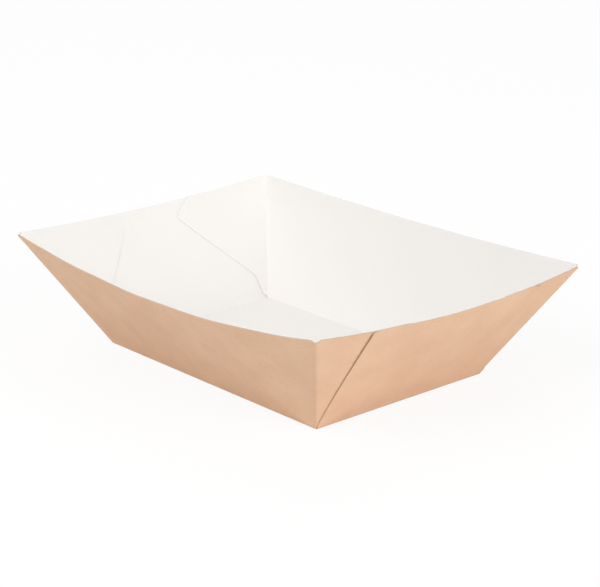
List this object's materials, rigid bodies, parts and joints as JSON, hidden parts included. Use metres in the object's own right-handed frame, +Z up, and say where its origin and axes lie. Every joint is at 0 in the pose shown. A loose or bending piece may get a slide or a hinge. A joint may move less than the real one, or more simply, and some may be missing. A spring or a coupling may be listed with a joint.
{
  "type": "paper food tray",
  "caption": "Open boat-shaped food tray folded from one sheet of white-lined kraft board, with four leaning walls, a dipping rim and glue flaps inside the short ends.",
  "frame": {"origin": "middle of the underside of the base, on the surface that the tray stands on", "axes": "+X along the tray's long side, +Y across it, +Z up out of its open top"},
  "size_m": [0.1924, 0.1428, 0.0458],
  "materials": {
    "kraft_board": "uncoated kraft brown outside, smooth matt white lining inside"
  },
  "bodies": {
    "root": {"folded_tray": "kraft_board"}
  },
  "joints": []
}
